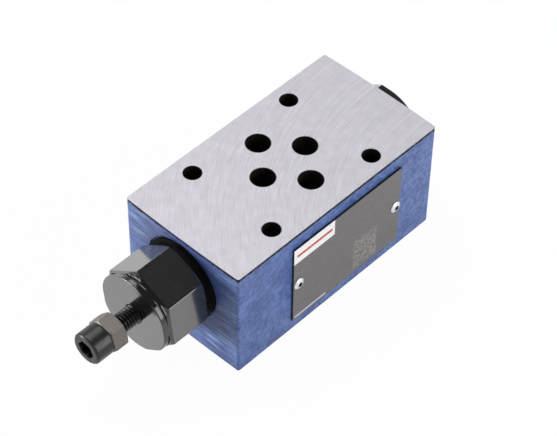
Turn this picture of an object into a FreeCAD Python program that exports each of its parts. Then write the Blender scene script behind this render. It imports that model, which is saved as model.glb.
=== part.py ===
import FreeCAD, Part
import math
import os

# A size 6 hydraulic sandwich valve: a pressure reducing valve that is bolted between a subplate and a
# directional valve. Millimetres. The origin is the centre of the mounting pattern on the mounting face,
# +X runs along the spool away from the adjuster, and +Z points to the valve on top.

# Housing
near_length = 40.0            # pattern centre to the corners of the adjuster end
far_length = 42.0             # pattern centre to the corners of the plug end
body_width = 44.0
body_height = 40.0
near_crown = 0.3              # how far the cast end bulges past its corners
far_crown = 0.4
cast_corner_radius = 0.8
cast_foot_radius = 0.8
axis_height = 24.0            # spool axis above the mounting face

# Mounting pattern and ports
hole_x = 20.25                # both rows of mounting holes, each side of the centre
near_hole_pitch = 31.0
far_hole_pitch = 32.5
hole_radius = 2.75
port_radius = 3.75
cross_port_x = 1.25           # ports P and T
cross_port_y = 10.4
port_a_x = -7.55
port_b_x = 9.95
port_lip = 0.875              # face left between a port and its seal
seal_section = 1.78
port_recess_depth = 1.35
seal_clearance = 0.05

# Spool bore and the passages round it
spool_radius = 4.5
running_clearance = 0.02
chamber_radius = 8.0          # oil chambers of ports A and B
chamber_width = 4.5
chamber_offset = 3.2          # chamber centre beyond its port's centre, away from the P and T ports
chamber_cover = 5.5           # height of metal kept between the axis and the end of a blind port
groove_radius = 5.6           # grooves that the pressure windows open into
groove_width = 2.7
groove_gap = 1.9              # land between the two pressure grooves
window_height = 2.5
window_web = 1.5              # half of the wall between the two pressure drillings
guide_land = 6.0              # bore length between the chamber of port A and the spring chamber
far_land = 8.6                # bore length beyond the chamber of port B
spring_chamber_radius = 10.0
end_chamber_radius = 6.5
end_chamber_depth = 2.0       # how far the end chamber reaches back past the spool's far end
drain_radius = 1.0

# Spool
spool_stroke = 3.0
neck_radius = 3.0
spool_overhang = 2.5          # spool's end past the spring chamber's floor
spool_bore_radius = 1.5
sensing_radius = 0.9
relief_radius = 0.7
relief_lap = 2.8              # stroke at which the relief holes begin to open
balance_groove_width = 0.6
balance_groove_depth = 0.3
spool_end_chamfer = 0.3
orifice_radius = 2.0
orifice_length = 5.0
orifice_bore = 0.4
orifice_slot = 0.8

# Adjusting sleeve
thread_radius = 11.0
thread_clearance = 0.05
thread_chamfer = 0.8
collar_radius = 13.0
collar_thickness = 1.0
spot_face_margin = 0.5
near_spot_depth = 0.4         # spot faces below the corners of the cast ends
far_spot_depth = 0.6
undercut_radius = 10.6
undercut_length = 2.6
neck_seal_radius = 0.92
neck_seal_recess = 12.6
hexagon_across_flats = 24.0
sleeve_length = 19.5          # spot face to the sleeve's front
sleeve_corner_angle = 23.2    # turn of the hexagon's first corner from +Y
nose_radius = 12.65
nose_chamfer = 0.25
nose_length = 1.5
cap_groove_radius = 12.05
cap_groove_width = 0.6
shoulder_radius = 12.8
shoulder_length = 0.45
shoulder_cone = 0.9
rear_cone = 1.1
rear_neck_radius = 12.05
rear_neck_length = 1.4
sleeve_bore_radius = 7.5
sleeve_wall = 6.0             # front wall that carries the screw's thread
snap_ring_thickness = 1.0
snap_ring_depth = 0.6
snap_ring_bite = 0.3
snap_ring_gap = 4.0
snap_ring_inset = 1.6

# Adjusting screw and lock nut
screw_radius = 3.0
screw_length = 20.0
screw_head_radius = 5.0
screw_head_height = 6.0
screw_head_chamfer = 0.6
screw_tip_chamfer = 0.5
key_across_flats = 5.0
key_depth = 3.0
bare_thread = 6.75            # screw thread between the sleeve and the lock nut
nut_across_flats = 10.0
nut_height = 5.0
nut_chamfer = 0.45
nut_gap = 0.1                 # nut backed off to just under the head
nut_corner_angle = 13.0
screw_corner_angle = 5.0

# Spring plate, spring and spring seat
plate_clearance = 0.05
plate_back = 1.7              # plate's rim behind the screw's tip
plate_recess_clearance = 0.3
plate_length = 5.5            # screw tip to the face that carries the spring
plate_groove_depth = 1.45
plate_groove_width = 1.9
guide_spigot_radius = 4.0
guide_spigot_length = 3.5
wire_radius = 1.2
coil_radius = 5.6
dead_turns = 1.0              # closed turns at each end
live_turns = 3.5
ground_share = 0.7            # part of the wire left at the ground ends
spring_end_gap = 0.02
seat_radius = 8.5
seat_thickness = 2.0
seat_socket = 1.0
seat_socket_clearance = 0.15
seat_to_sleeve = 0.5          # room left between the seat and the sleeve at full stroke

# End plug
plug_thread_length = 12.0
plug_hexagon_height = 5.1
plug_collar_thickness = 1.0
plug_corner_angle = 79.5
plug_rim_radius = 12.0
plug_chamfer_length = 1.3
stop_radius = 3.6
stop_bore_radius = 2.4
stop_slot_width = 2.0
stop_slot_depth = 1.5

# Nameplate
plate_width = 45.2
plate_height = 30.0
plate_thickness = 0.7
plate_centre_x = 4.2
plate_centre_z = 19.8
rivet_inset = 2.0
rivet_radius = 1.25
rivet_length = 3.0
rivet_head_radius = 1.9
rivet_head_height = 0.8
rivet_dimple_radius = 0.75
rivet_dimple_depth = 1.2
rivet_clearance = 0.05

# Places along the spool axis, worked out from the sizes above
near_face = near_spot_depth - near_length
far_face = far_length - far_spot_depth
sleeve_front = near_face - sleeve_length
chamber_a = port_a_x - chamber_offset
chamber_b = port_b_x + chamber_offset
reduced_groove = cross_port_x - groove_gap / 2 - groove_width
inlet_groove = cross_port_x + groove_gap / 2
spring_floor = chamber_a - chamber_width / 2 - guide_land
spool_near = spring_floor - spool_overhang
spool_far = chamber_b + chamber_width / 2 + far_land
seat_face = spool_near - seat_thickness
sleeve_end = seat_face - spool_stroke - seat_to_sleeve
sleeve_floor = sleeve_front + sleeve_wall
nut_front = sleeve_front - bare_thread
head_under = nut_front - nut_height - nut_gap
head_front = head_under - screw_head_height
screw_tip = head_under + screw_length
plate_face = screw_tip + plate_length
plug_inner = far_face - plug_thread_length
bore_radius = spool_radius + running_clearance
lower_plate_y = -body_width / 2


def vec(x, y, z):
    return FreeCAD.Vector(x, y, z)


AXIS_X = vec(1, 0, 0)
AXIS_Y = vec(0, 1, 0)
AXIS_Z = vec(0, 0, 1)


def turned(points):
    """Solid of revolution about the spool axis, from (x, radius) corners."""
    corners = [vec(x, 0, axis_height + radius) for x, radius in points]
    face = Part.Face(Part.makePolygon(corners + corners[:1]))
    return face.revolve(vec(0, 0, axis_height), AXIS_X, 360)


def x_cylinder(radius, start, end, y=0.0, z=axis_height):
    return Part.makeCylinder(radius, end - start, vec(start, y, z), AXIS_X)


def z_cylinder(radius, x, y, bottom, top):
    return Part.makeCylinder(radius, top - bottom, vec(x, y, bottom), AXIS_Z)


def hexagon(across_flats, start, end, corner_angle):
    """Hexagonal prism along the spool axis."""
    corner = across_flats / math.sqrt(3)
    points = []
    for step in range(7):
        angle = math.radians(corner_angle + 60 * step)
        points.append(vec(start, corner * math.cos(angle), axis_height + corner * math.sin(angle)))
    return Part.Face(Part.makePolygon(points)).extrude(vec(end - start, 0, 0))


def ring(centre_radius, section_radius, x):
    """O-ring round the spool axis."""
    return Part.makeTorus(centre_radius, section_radius, vec(x, 0, axis_height), AXIS_X)


def joined(shapes):
    return shapes[0].multiFuse(shapes[1:])


def mounting_holes():
    near = [(-hole_x, side * near_hole_pitch / 2) for side in (-1, 1)]
    far = [(hole_x, side * far_hole_pitch / 2) for side in (-1, 1)]
    return near + far


def ports():
    return {
        "p": (cross_port_x, cross_port_y),
        "t": (cross_port_x, -cross_port_y),
        "a": (port_a_x, 0.0),
        "b": (port_b_x, 0.0),
    }


def cast_block():
    """Block with crowned ends, rounded corners and a rounded foot."""
    side = body_width / 2
    near, far = -near_length, far_length
    edges = [
        arc_between(vec(near, -side, 0), vec(near - near_crown, 0, 0), vec(near, side, 0)),
        Part.LineSegment(vec(near, side, 0), vec(far, side, 0)).toShape(),
        arc_between(vec(far, side, 0), vec(far + far_crown, 0, 0), vec(far, -side, 0)),
        Part.LineSegment(vec(far, -side, 0), vec(near, -side, 0)).toShape(),
    ]
    block = Part.Face(Part.Wire(edges)).extrude(vec(0, 0, body_height))
    upright = [edge for edge in block.Edges if edge.BoundBox.ZLength > body_height / 2]
    block = block.makeFillet(cast_corner_radius, upright)
    foot = [edge for edge in block.Edges if edge.BoundBox.ZMax < cast_foot_radius / 2]
    return block.makeFillet(cast_foot_radius, foot)


def port_drillings():
    """T goes right through. A, B and P are drilled from both faces and stop short of the spool bore."""
    cuts = [z_cylinder(port_radius, cross_port_x, -cross_port_y, 0, body_height)]
    for x in (port_a_x, port_b_x):
        cuts.append(z_cylinder(port_radius, x, 0, axis_height + chamber_cover, body_height))
        cuts.append(z_cylinder(port_radius, x, 0, 0, axis_height - chamber_cover))
    cuts.append(z_cylinder(port_radius, cross_port_x, cross_port_y, axis_height + window_web, body_height))
    cuts.append(z_cylinder(port_radius, cross_port_x, cross_port_y, 0, axis_height - window_web))
    return cuts


def pressure_windows():
    """The inlet comes up from the mounting face, and the reduced pressure leaves at the top."""
    upper = Part.makeBox(groove_width, cross_port_y, window_height,
                         vec(reduced_groove, 0, axis_height + window_web))
    lower = Part.makeBox(groove_width, cross_port_y, window_height,
                         vec(inlet_groove, 0, axis_height - window_web - window_height))
    return [upper, lower]


def spool_passages():
    """Stepped bore for the spool, its chambers and grooves, and the tank drilling."""
    half = chamber_width / 2
    cuts = [x_cylinder(bore_radius, spring_floor, spool_far)]
    for middle in (chamber_a, chamber_b):
        cuts.append(x_cylinder(chamber_radius, middle - half, middle + half))
    for start in (reduced_groove, inlet_groove):
        cuts.append(x_cylinder(groove_radius, start, start + groove_width))
    cuts.append(x_cylinder(spring_chamber_radius, sleeve_end, spring_floor))
    cuts.append(x_cylinder(end_chamber_radius, spool_far - end_chamber_depth, plug_inner))
    drain_y = -(spring_chamber_radius + drain_radius / 4)
    cuts.append(x_cylinder(drain_radius, spring_floor, cross_port_x, drain_y))
    return cuts


def threaded_mouth(face, inner, side):
    """Spot face, seal recess and threaded bore of one end. side is -1 near and 1 far."""
    outside = face + side * 2 * (near_spot_depth + near_crown + far_spot_depth + far_crown)
    recess = face - side * undercut_length
    places = [
        (collar_radius + spot_face_margin, face, outside),
        (neck_seal_recess, recess, face),
        (thread_radius + thread_clearance, inner, face),
    ]
    return [x_cylinder(radius, min(a, b), max(a, b)) for radius, a, b in places]


def housing():
    cuts = port_drillings() + pressure_windows() + spool_passages()
    cuts += threaded_mouth(near_face, sleeve_end, -1)
    cuts += threaded_mouth(far_face, plug_inner, 1)
    for x, y in mounting_holes():
        cuts.append(z_cylinder(hole_radius, x, y, 0, body_height))
    recess = port_radius + port_lip + seal_section + seal_clearance
    for x, y in ports().values():
        cuts.append(z_cylinder(recess, x, y, 0, port_recess_depth))
    for x in rivet_places():
        cuts.append(rivet_cylinder(rivet_radius + rivet_clearance, x, rivet_length + rivet_clearance))
    return cast_block().cut(joined(cuts))


def port_seal(x, y):
    """O-ring drawn at its squeezed height, flush with the mounting face."""
    height = port_recess_depth - seal_clearance
    inner = port_radius + port_lip
    bulge = seal_section / 4
    corners = [
        vec(x + inner, y, height / 2), vec(x + inner + bulge, y, 0),
        vec(x + inner + seal_section - bulge, y, 0), vec(x + inner + seal_section, y, height / 2),
        vec(x + inner + seal_section - bulge, y, height), vec(x + inner + bulge, y, height),
    ]
    edges = [
        arc_between(corners[5], corners[0], corners[1]),
        Part.LineSegment(corners[1], corners[2]).toShape(),
        arc_between(corners[2], corners[3], corners[4]),
        Part.LineSegment(corners[4], corners[5]).toShape(),
    ]
    return Part.Face(Part.Wire(edges)).revolve(vec(x, y, 0), AXIS_Z, 360)


def arc_between(start, middle, end):
    return Part.Arc(start, middle, end).toShape()


def sleeve_outline():
    """Turned outline of the sleeve from its threaded end to its front, as (x, radius)."""
    corner = hexagon_across_flats / math.sqrt(3)
    undercut = near_face + undercut_length
    collar = near_face - collar_thickness
    rear = collar - rear_neck_length
    groove = sleeve_front + nose_length
    shoulder = groove + cap_groove_width
    cone = shoulder + shoulder_length
    return [
        (sleeve_end, 0), (sleeve_end, thread_radius - thread_chamfer),
        (sleeve_end - thread_chamfer, thread_radius), (undercut, thread_radius),
        (undercut, undercut_radius), (near_face, undercut_radius),
        (near_face, collar_radius), (collar, collar_radius),
        (collar, rear_neck_radius), (rear, rear_neck_radius),
        (rear - rear_cone, corner), (cone + shoulder_cone, corner),
        (cone, shoulder_radius), (shoulder, shoulder_radius),
        (shoulder, cap_groove_radius), (groove, cap_groove_radius),
        (groove, nose_radius), (sleeve_front + nose_chamfer, nose_radius),
        (sleeve_front, nose_radius - nose_chamfer), (sleeve_front, 0),
    ]


def adjusting_sleeve():
    collar = near_face - collar_thickness
    flats = hexagon(hexagon_across_flats, collar, sleeve_front, sleeve_corner_angle)
    round_part = x_cylinder(collar_radius, collar, sleeve_end)
    body = turned(sleeve_outline()).common(flats.fuse(round_part))
    body = body.cut(x_cylinder(sleeve_bore_radius, sleeve_floor, sleeve_end))
    ring_start = sleeve_end - snap_ring_inset - snap_ring_thickness
    groove = x_cylinder(sleeve_bore_radius + snap_ring_depth + seal_clearance,
                        ring_start - seal_clearance, ring_start + snap_ring_thickness + seal_clearance)
    body = body.cut(groove)
    return body.cut(x_cylinder(screw_radius + thread_clearance, sleeve_front, sleeve_floor))


def plate_snap_ring():
    start = sleeve_end - snap_ring_inset - snap_ring_thickness
    outer = x_cylinder(sleeve_bore_radius + snap_ring_depth, start, start + snap_ring_thickness)
    inner = x_cylinder(sleeve_bore_radius - snap_ring_bite, start, start + snap_ring_thickness)
    gap = Part.makeBox(snap_ring_thickness, snap_ring_gap, spring_chamber_radius,
                       vec(start, -snap_ring_gap / 2, axis_height))
    return outer.cut(inner).cut(gap)


def adjusting_screw():
    body = turned([
        (screw_tip, 0), (screw_tip, screw_radius - screw_tip_chamfer),
        (screw_tip - screw_tip_chamfer, screw_radius), (head_under, screw_radius),
        (head_under, screw_head_radius), (head_front + screw_head_chamfer, screw_head_radius),
        (head_front, screw_head_radius - screw_head_chamfer), (head_front, 0),
    ])
    key = hexagon(key_across_flats, head_front, head_front + key_depth, screw_corner_angle)
    return body.cut(key)


def lock_nut():
    corner = nut_across_flats / math.sqrt(3)
    face_radius = nut_across_flats / 2
    back = nut_front - nut_height
    outline = turned([
        (back, 0), (back, face_radius), (back + nut_chamfer, corner),
        (nut_front - nut_chamfer, corner), (nut_front, face_radius), (nut_front, 0),
    ])
    nut = outline.common(hexagon(nut_across_flats, back, nut_front, nut_corner_angle))
    return nut.cut(x_cylinder(screw_radius + thread_clearance, back, nut_front))


def spring_plate():
    outer = sleeve_bore_radius - plate_clearance
    back = screw_tip - plate_back
    middle = screw_tip + plate_length / 2
    half = plate_groove_width / 2
    recess = screw_radius + plate_recess_clearance
    bottom = outer - plate_groove_depth
    return turned([
        (screw_tip, 0), (screw_tip, recess), (back, recess), (back, outer),
        (middle - half, outer), (middle - half, bottom), (middle + half, bottom),
        (middle + half, outer), (plate_face, outer), (plate_face, guide_spigot_radius),
        (plate_face + guide_spigot_length, guide_spigot_radius),
        (plate_face + guide_spigot_length, 0),
    ])


def spring_plate_seal():
    outer = sleeve_bore_radius - plate_clearance
    section = plate_groove_depth / 2
    return ring(outer - section, section, screw_tip + plate_length / 2)


def spring_seat():
    recess = spool_radius + seat_socket_clearance
    boss = seat_face - guide_spigot_length
    return turned([
        (boss, 0), (boss, guide_spigot_radius), (seat_face, guide_spigot_radius),
        (seat_face, seat_radius), (spool_near + seat_socket, seat_radius),
        (spool_near + seat_socket, recess), (spool_near, recess), (spool_near, 0),
    ])


def control_spring():
    """Coil spring with closed ends, ground flat on both faces."""
    start = plate_face + spring_end_gap
    end = seat_face - spring_end_gap
    length = end - start
    cut_off = 2 * wire_radius * (1 - ground_share)
    first = wire_radius - cut_off
    travel = length - 2 * first
    closed_rise = 2 * wire_radius * dead_turns
    live_rise = travel - 2 * closed_rise
    turns = 2 * dead_turns + live_turns
    steps_per_turn = 12
    points = []
    for step in range(int(round(turns * steps_per_turn)) + 1):
        turn = step / steps_per_turn
        lower = min(turn, dead_turns) * 2 * wire_radius
        live = min(max(turn - dead_turns, 0), live_turns) / live_turns
        upper = max(turn - dead_turns - live_turns, 0) * 2 * wire_radius
        rise = lower + live * live_rise + upper
        angle = 2 * math.pi * turn
        points.append(vec(start + first + rise, coil_radius * math.cos(angle),
                          axis_height + coil_radius * math.sin(angle)))
    path = Part.BSplineCurve()
    path.interpolate(points)
    wire = Part.Wire([path.toShape()])
    tangent = path.tangent(path.FirstParameter)[0]
    section = Part.Wire([Part.Circle(points[0], tangent, wire_radius).toShape()])
    coil = wire.makePipeShell([section], True, True)
    room = x_cylinder(coil_radius + 2 * wire_radius, start, end)
    return coil.common(room)


def control_spool():
    """Spool with one metering neck and balance grooves on its lands."""
    bottom = spool_radius - balance_groove_depth
    half = balance_groove_width / 2
    neck_start, neck_end = reduced_groove, inlet_groove + groove_width
    inner_land = (chamber_a + chamber_width / 2 + neck_start) / 2
    outer_land = (neck_end + chamber_b - chamber_width / 2) / 2
    far_groove = chamber_b + chamber_width / 2 + far_land / 2
    outline = [(spool_near, 0), (spool_near, spool_radius - spool_end_chamfer),
               (spool_near + spool_end_chamfer, spool_radius)]
    grooves = [(inner_land - half, inner_land + half, bottom), (neck_start, neck_end, neck_radius),
               (outer_land - half, outer_land + half, bottom), (far_groove - half, far_groove + half, bottom)]
    for start, end, radius in grooves:
        outline += [(start, spool_radius), (start, radius), (end, radius), (end, spool_radius)]
    outline += [(spool_far - spool_end_chamfer, spool_radius),
                (spool_far, spool_radius - spool_end_chamfer), (spool_far, 0)]
    relief_x = spring_floor + relief_lap + relief_radius
    sensing_x = neck_start + groove_width / 2
    cuts = [
        x_cylinder(spool_bore_radius, relief_x - relief_radius, spool_far),
        x_cylinder(orifice_radius + thread_clearance, spool_far - orifice_length, spool_far),
        z_cylinder(relief_radius, relief_x, 0, axis_height - spool_radius, axis_height + spool_radius),
        z_cylinder(sensing_radius, sensing_x, 0, axis_height - spool_radius, axis_height + spool_radius),
    ]
    return turned(outline).cut(joined(cuts))


def orifice_screw():
    body = x_cylinder(orifice_radius, spool_far - orifice_length, spool_far)
    slot = Part.makeBox(orifice_slot, 2 * orifice_radius, orifice_slot,
                        vec(spool_far - orifice_slot, -orifice_radius, axis_height - orifice_slot / 2))
    return body.cut(x_cylinder(orifice_bore, spool_far - orifice_length, spool_far)).cut(slot)


def end_plug():
    corner = hexagon_across_flats / math.sqrt(3)
    collar = far_face + plug_collar_thickness
    top = collar + plug_hexagon_height
    undercut = far_face - undercut_length
    body = turned([
        (plug_inner, 0), (plug_inner, thread_radius - thread_chamfer),
        (plug_inner + thread_chamfer, thread_radius), (undercut, thread_radius),
        (undercut, undercut_radius), (far_face, undercut_radius),
        (far_face, collar_radius), (collar, collar_radius), (collar, corner),
        (top - plug_chamfer_length, corner), (top, plug_rim_radius), (top, 0),
    ])
    flats = hexagon(hexagon_across_flats, collar, top, plug_corner_angle)
    body = body.common(flats.fuse(x_cylinder(collar_radius, plug_inner, collar)))
    stop = x_cylinder(stop_radius, spool_far, plug_inner)
    stop = stop.cut(x_cylinder(stop_bore_radius, spool_far, plug_inner))
    slot = Part.makeBox(stop_slot_depth, 2 * stop_radius, stop_slot_width,
                        vec(spool_far, -stop_radius, axis_height - stop_slot_width / 2))
    return body.fuse(stop.cut(slot))


def neck_seal(face, side):
    """O-ring under a collar, in the housing's recess."""
    return ring(undercut_radius + seal_clearance + neck_seal_radius, neck_seal_radius,
                face - side * undercut_length / 2)


def rivet_places():
    half = plate_width / 2 - rivet_inset
    return [plate_centre_x - half, plate_centre_x + half]


def rivet_cylinder(radius, x, depth):
    height = plate_centre_z
    front = lower_plate_y - plate_thickness
    return Part.makeCylinder(radius, depth + plate_thickness, vec(x, front, height), AXIS_Y)


def nameplate():
    low = vec(plate_centre_x - plate_width / 2, lower_plate_y - plate_thickness,
              plate_centre_z - plate_height / 2)
    plate = Part.makeBox(plate_width, plate_thickness, plate_height, low)
    for x in rivet_places():
        plate = plate.cut(rivet_cylinder(rivet_radius + rivet_clearance, x, 0))
    return plate


def rivet(x):
    """Domed rivet with a dimple in its head, driven along +Y."""
    height = plate_centre_z
    front = lower_plate_y - plate_thickness
    rim = front - rivet_head_height / 3
    top = front - rivet_head_height
    dome = arc_between(vec(x + rivet_head_radius, rim, height),
                       vec(x + (rivet_head_radius + rivet_dimple_radius) / 2, top + rivet_head_height / 6, height),
                       vec(x + rivet_dimple_radius, top, height))
    corners = [
        vec(x + rivet_dimple_radius, top, height), vec(x + rivet_dimple_radius, top + rivet_dimple_depth, height),
        vec(x, top + rivet_dimple_depth, height),
        vec(x, lower_plate_y + rivet_length, height), vec(x + rivet_radius, lower_plate_y + rivet_length, height),
        vec(x + rivet_radius, front, height), vec(x + rivet_head_radius, front, height),
        vec(x + rivet_head_radius, rim, height),
    ]
    lines = [Part.LineSegment(a, b).toShape() for a, b in zip(corners, corners[1:])]
    face = Part.Face(Part.Wire(lines + [dome]))
    return face.revolve(vec(x, 0, height), AXIS_Y, 360)


def nodes():
    parts = {
        "housing": housing(),
        "adjusting_sleeve": adjusting_sleeve(),
        "adjusting_screw": adjusting_screw(),
        "lock_nut": lock_nut(),
        "end_plug": end_plug(),
        "nameplate": nameplate(),
        "nameplate_rivets": Part.makeCompound([rivet(x) for x in rivet_places()]),
        "control_spool": control_spool(),
        "control_spring": control_spring(),
        "spring_plate": spring_plate(),
        "spring_plate_seal": spring_plate_seal(),
        "plate_snap_ring": plate_snap_ring(),
        "spring_seat": spring_seat(),
        "orifice_screw": orifice_screw(),
        "sleeve_seal": neck_seal(near_face, -1),
        "plug_seal": neck_seal(far_face, 1),
    }
    for name, (x, y) in ports().items():
        parts["port_seal_" + name] = port_seal(x, y)
    return parts


os.makedirs("parts", exist_ok=True)
for node, shape in nodes().items():
    shape.exportStep("parts/" + node + ".step")
    print(node, "solids", len(shape.Solids), "valid", shape.isValid(), "volume", round(shape.Volume, 1))
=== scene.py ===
# %% [markdown]
# # A hydraulic sandwich valve in Blender
# The real object is a small cast-iron block that is bolted between a subplate and a directional valve.
# Its frame comes from the CAD model, in metres, and every piece made here sits on that frame.
# The frame is loaded first, so that nothing has to be fitted by eye later.

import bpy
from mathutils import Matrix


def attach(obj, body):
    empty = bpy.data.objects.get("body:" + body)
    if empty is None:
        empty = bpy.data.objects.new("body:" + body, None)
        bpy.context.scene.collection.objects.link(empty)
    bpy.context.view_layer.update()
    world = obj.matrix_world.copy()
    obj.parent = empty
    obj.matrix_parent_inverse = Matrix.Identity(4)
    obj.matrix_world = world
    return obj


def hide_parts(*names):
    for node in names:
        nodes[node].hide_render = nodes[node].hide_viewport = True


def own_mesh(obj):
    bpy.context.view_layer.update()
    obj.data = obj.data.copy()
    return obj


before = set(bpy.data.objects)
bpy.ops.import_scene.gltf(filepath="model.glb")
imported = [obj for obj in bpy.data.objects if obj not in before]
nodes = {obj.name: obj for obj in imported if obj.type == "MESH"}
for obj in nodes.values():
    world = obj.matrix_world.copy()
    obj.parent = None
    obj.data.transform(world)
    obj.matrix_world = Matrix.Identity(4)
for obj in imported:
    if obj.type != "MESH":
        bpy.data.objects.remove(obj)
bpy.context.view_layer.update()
print("nodes", len(nodes))

# %% Modules and units
import math

import bmesh
import bpy
from mathutils import Matrix, Vector

MM = 0.001

# %% [markdown]
# ## Colour and nodes
# A colour picked from a screen is an sRGB value, but a shader works with linear light.
# One function turns a hex string into linear numbers, and every colour below goes through it.
# A second function adds a node with its settings and its links. Written that way a material reads as a
# short list, and the sizes of its patterns stay in view beside it. Inputs are named, or counted where names
# repeat: a Mix node has its factor at 0, its numbers at 2 and 3, and its colours at 6 and 7, and the mixed
# colour comes out at 2.

# %% Colour helper
def colour(hex_code):
    """Linear colour from an sRGB hex code."""
    values = []
    for start in (0, 2, 4):
        channel = int(hex_code.lstrip("#")[start:start + 2], 16) / 255
        values.append(channel / 12.92 if channel <= 0.04045 else ((channel + 0.055) / 1.055) ** 2.4)
    return (*values, 1.0)


print("mid grey is", round(colour("#808080")[0], 3), "in linear light")

# %% Node helper
def add(tree, kind, settings=None, inputs=None):
    """Adds a node. An input is either a plain value or a node or socket to link from."""
    node = tree.nodes.new("ShaderNode" + kind)
    for name, value in (settings or {}).items():
        setattr(node, name, value)
    for key, value in (inputs or {}).items():
        if isinstance(value, bpy.types.Node):
            value = value.outputs[0]
        if isinstance(value, bpy.types.NodeSocket):
            tree.links.new(value, node.inputs[key])
        else:
            node.inputs[key].default_value = value
    return node


def new_material(name):
    """An empty material and its node tree."""
    material = bpy.data.materials.new(name)
    material.use_nodes = True
    material.node_tree.nodes.clear()
    return material, material.node_tree


def millimetres(tree, stretch=(1.0, 1.0, 1.0)):
    """Object coordinates in millimetres. A factor under 1 makes a pattern run long in that direction."""
    place = add(tree, "TexCoord").outputs["Object"]
    scale = tuple(factor / MM for factor in stretch)
    return add(tree, "VectorMath", {"operation": "MULTIPLY"}, {0: place, 1: scale})


def two_tones(tree, amount, dark, light, start=0.35, end=0.65):
    """Runs from one colour to another as amount goes from start to end."""
    share = add(tree, "MapRange", inputs={"Value": amount, "From Min": start, "From Max": end})
    return add(tree, "Mix", {"data_type": "RGBA"}, {0: share, 6: colour(dark), 7: colour(light)}).outputs[2]


def dress(node_name, material):
    """Gives a CAD node its material through its own slots."""
    piece = nodes[node_name]
    if not piece.material_slots:
        piece.data.materials.append(material)
    for slot in piece.material_slots:
        slot.material = material


print("node helpers ready")

# %% [markdown]
# ## Painted and ground cast iron
# The block is cast in sand, sprayed blue, and then ground bare on the top and bottom.
# Sand leaves a pebbled skin and paint rounds it off, so the sides are softly bumpy, and a little gloss turns
# every bump into a light and a dark spot. A ground face is matt and light, with the fine arcs that a
# grinding wheel leaves as it swings across.
# The block is one solid, so one material holds all of it, and masks choose between its finishes from the
# place on the surface. Separate materials would need the faces of the CAD model to be picked one by one.

# %% Masks for the block
BLOCK_TOP = 40.0
AXIS_HEIGHT = 24.0      # spool axis above the mounting face
BORE_REACH = 11.2       # everything nearer the spool axis than this is machined
HOLE_RIM_SHADE = 0.12             # width of the painted shade round the mouth of a drilled hole
HOLES = [(-20.25, -15.5, 2.75), (-20.25, 15.5, 2.75), (20.25, -16.25, 2.75), (20.25, 16.25, 2.75),
         (1.25, 10.4, 3.75), (1.25, -10.4, 3.75), (-7.55, 0.0, 3.75), (9.95, 0.0, 3.75)]
PORTS = HOLES[4:]
SEAL_RECESS = 6.5       # radius of the recesses for the port seals in the underside
RECESS_FLOOR = 1.35     # and their depth
FLOOR_SLACK = 0.17      # how far past its floor a recess still counts
FACE_SLACK = 0.03       # a point this near to a face lies in it
FAR_OFF = 100.0         # further than any hole is wide


def mask_bores(tree, axes):
    """1 inside a drilled hole, a seal's recess or the spool bore, 0 elsewhere."""
    plan = add(tree, "CombineXYZ", inputs={0: axes.outputs[0], 1: axes.outputs[1]})
    around = add(tree, "CombineXYZ", inputs={1: axes.outputs[1], 2: axes.outputs[2]})
    places = [(plan, (x, y, 0.0), radius + HOLE_RIM_SHADE) for x, y, radius in HOLES]
    places.append((around, (0.0, 0.0, AXIS_HEIGHT), BORE_REACH))
    # A recess only reaches up to its floor, so a point above or below it is sent too far off to be near.
    low, high = FACE_SLACK, RECESS_FLOOR + FLOOR_SLACK
    sunk = add(tree, "Math", {"operation": "COMPARE"},
               {0: axes.outputs[2], 1: (low + high) / 2, 2: (high - low) / 2})
    away = add(tree, "Math", {"operation": "MULTIPLY_ADD"}, {0: sunk, 1: -FAR_OFF, 2: FAR_OFF})
    low_plan = add(tree, "CombineXYZ", inputs={0: axes.outputs[0], 1: axes.outputs[1], 2: away})
    places += [(low_plan, (x, y, 0.0), SEAL_RECESS) for x, y, _ in PORTS]
    inside = 0.0
    for point, centre, radius in places:
        gap = add(tree, "VectorMath", {"operation": "DISTANCE"}, {0: point, 1: centre}).outputs["Value"]
        near = add(tree, "Math", {"operation": "LESS_THAN"}, {0: gap, 1: radius})
        inside = add(tree, "Math", {"operation": "MAXIMUM"}, {0: near, 1: inside})
    return inside


def mask_ground(tree, axes):
    """1 on the flat top and bottom, 0 elsewhere."""
    top = add(tree, "Math", {"operation": "GREATER_THAN"}, {0: axes.outputs[2], 1: BLOCK_TOP - FACE_SLACK})
    bottom = add(tree, "Math", {"operation": "LESS_THAN"}, {0: axes.outputs[2], 1: FACE_SLACK})
    return add(tree, "Math", {"operation": "MAXIMUM"}, {0: top, 1: bottom})


print("holes in the block", len(HOLES))

# %% [markdown]
# ### The paint
# Three sizes of pattern make the skin: sand pebbles half a millimetre apart, the slow waves of sprayed
# enamel, and cloudy patches where the coat is thicker. The adjuster end was cut before it was painted, so
# its waves are pulled out into ridges, with thin pale streaks along them as painted highlights. The colour is
# deeper in the thicker patches, lighter on the crests of waves and ridges and darker in their hollows as
# painted highlight and shade, and darkest round the seats of the sleeve and the plug as painted shade of
# those pieces, and the bumps do the rest. A dull dark band under the top edge is painted shade along the
# edge.

# %% Paint over cast skin
SAND_GRAIN = 0.5        # mm between the pebbles that the sand leaves
ENAMEL_WAVE = 1.7       # mm between the waves of the enamel
CLOUD = 6.0             # mm across a thicker patch
RIDGE = 1.3             # mm between the ridges of the adjuster end
HIGHLIGHT_STREAK = 0.8             # mm between the thin pale streaks of painted highlight along them
SPOT_FACE = 13.5        # radius of the round seats that the sleeve and the plug are screwed down on
SEAT_SHADE_FADE = 7.0              # mm over which the painted shade round a seat fades out
SEAT_SHADE_DEPTH = 0.8        # how much of the dark colour of the painted shade shows next to a seat
EDGE_LINE = 1.0         # mm of painted shade under the ground top, broken along its lower side


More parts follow.
